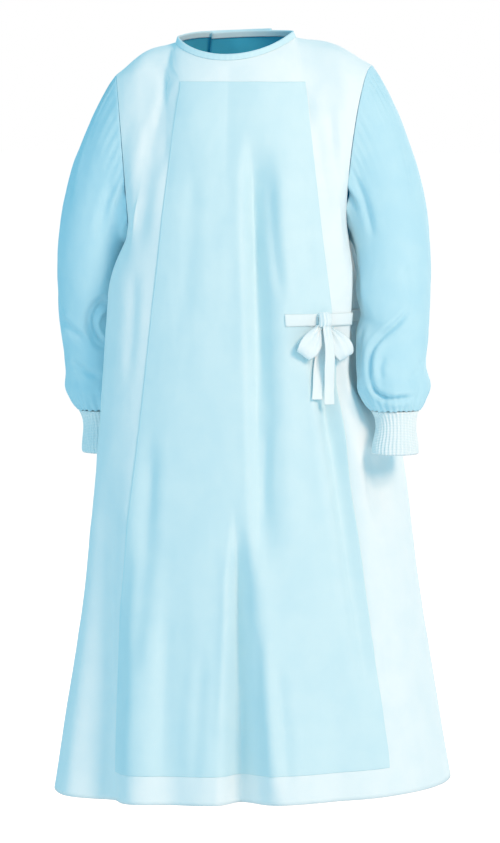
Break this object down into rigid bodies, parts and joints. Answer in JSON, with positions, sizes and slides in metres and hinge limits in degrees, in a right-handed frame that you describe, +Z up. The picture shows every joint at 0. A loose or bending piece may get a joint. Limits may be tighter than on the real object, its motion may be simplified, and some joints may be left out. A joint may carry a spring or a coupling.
{
  "type": "surgical gown",
  "caption": "Long-sleeved wraparound surgical gown in its worn form, hollow, with a reinforced front, knit cuffs, bound neck and a belt tied in a bow at the front.",
  "frame": {"origin": "middle of the neck opening, where the wearer's shoulders carry the gown", "axes": "+Z up, +X towards the wearer's left, front towards -Y"},
  "size_m": [0.6011, 0.3946, 1.1443],
  "materials": {
    "white_nonwoven": "matt nonwoven",
    "blue_nonwoven": "matt nonwoven",
    "pale_reinforcement": "matt nonwoven with a coating",
    "white_knit": "ribbed knit",
    "binding_tape": "matt tape"
  },
  "bodies": {
    "root": {"front_panel": "white_nonwoven", "front_reinforcement": "pale_reinforcement", "back_outer_panel": "white_nonwoven", "back_inner_panel": "white_nonwoven", "sleeve_left": "blue_nonwoven", "sleeve_right": "blue_nonwoven", "cuff_left": "white_knit", "cuff_right": "white_knit", "neck_binding": "binding_tape", "belt": "white_nonwoven", "front_tie": "white_nonwoven", "bow_knot": "white_nonwoven", "bow_loop_inner": "white_nonwoven", "bow_loop_outer": "white_nonwoven", "bow_tail_front": "white_nonwoven", "bow_tail_back": "white_nonwoven"}
  },
  "joints": []
}
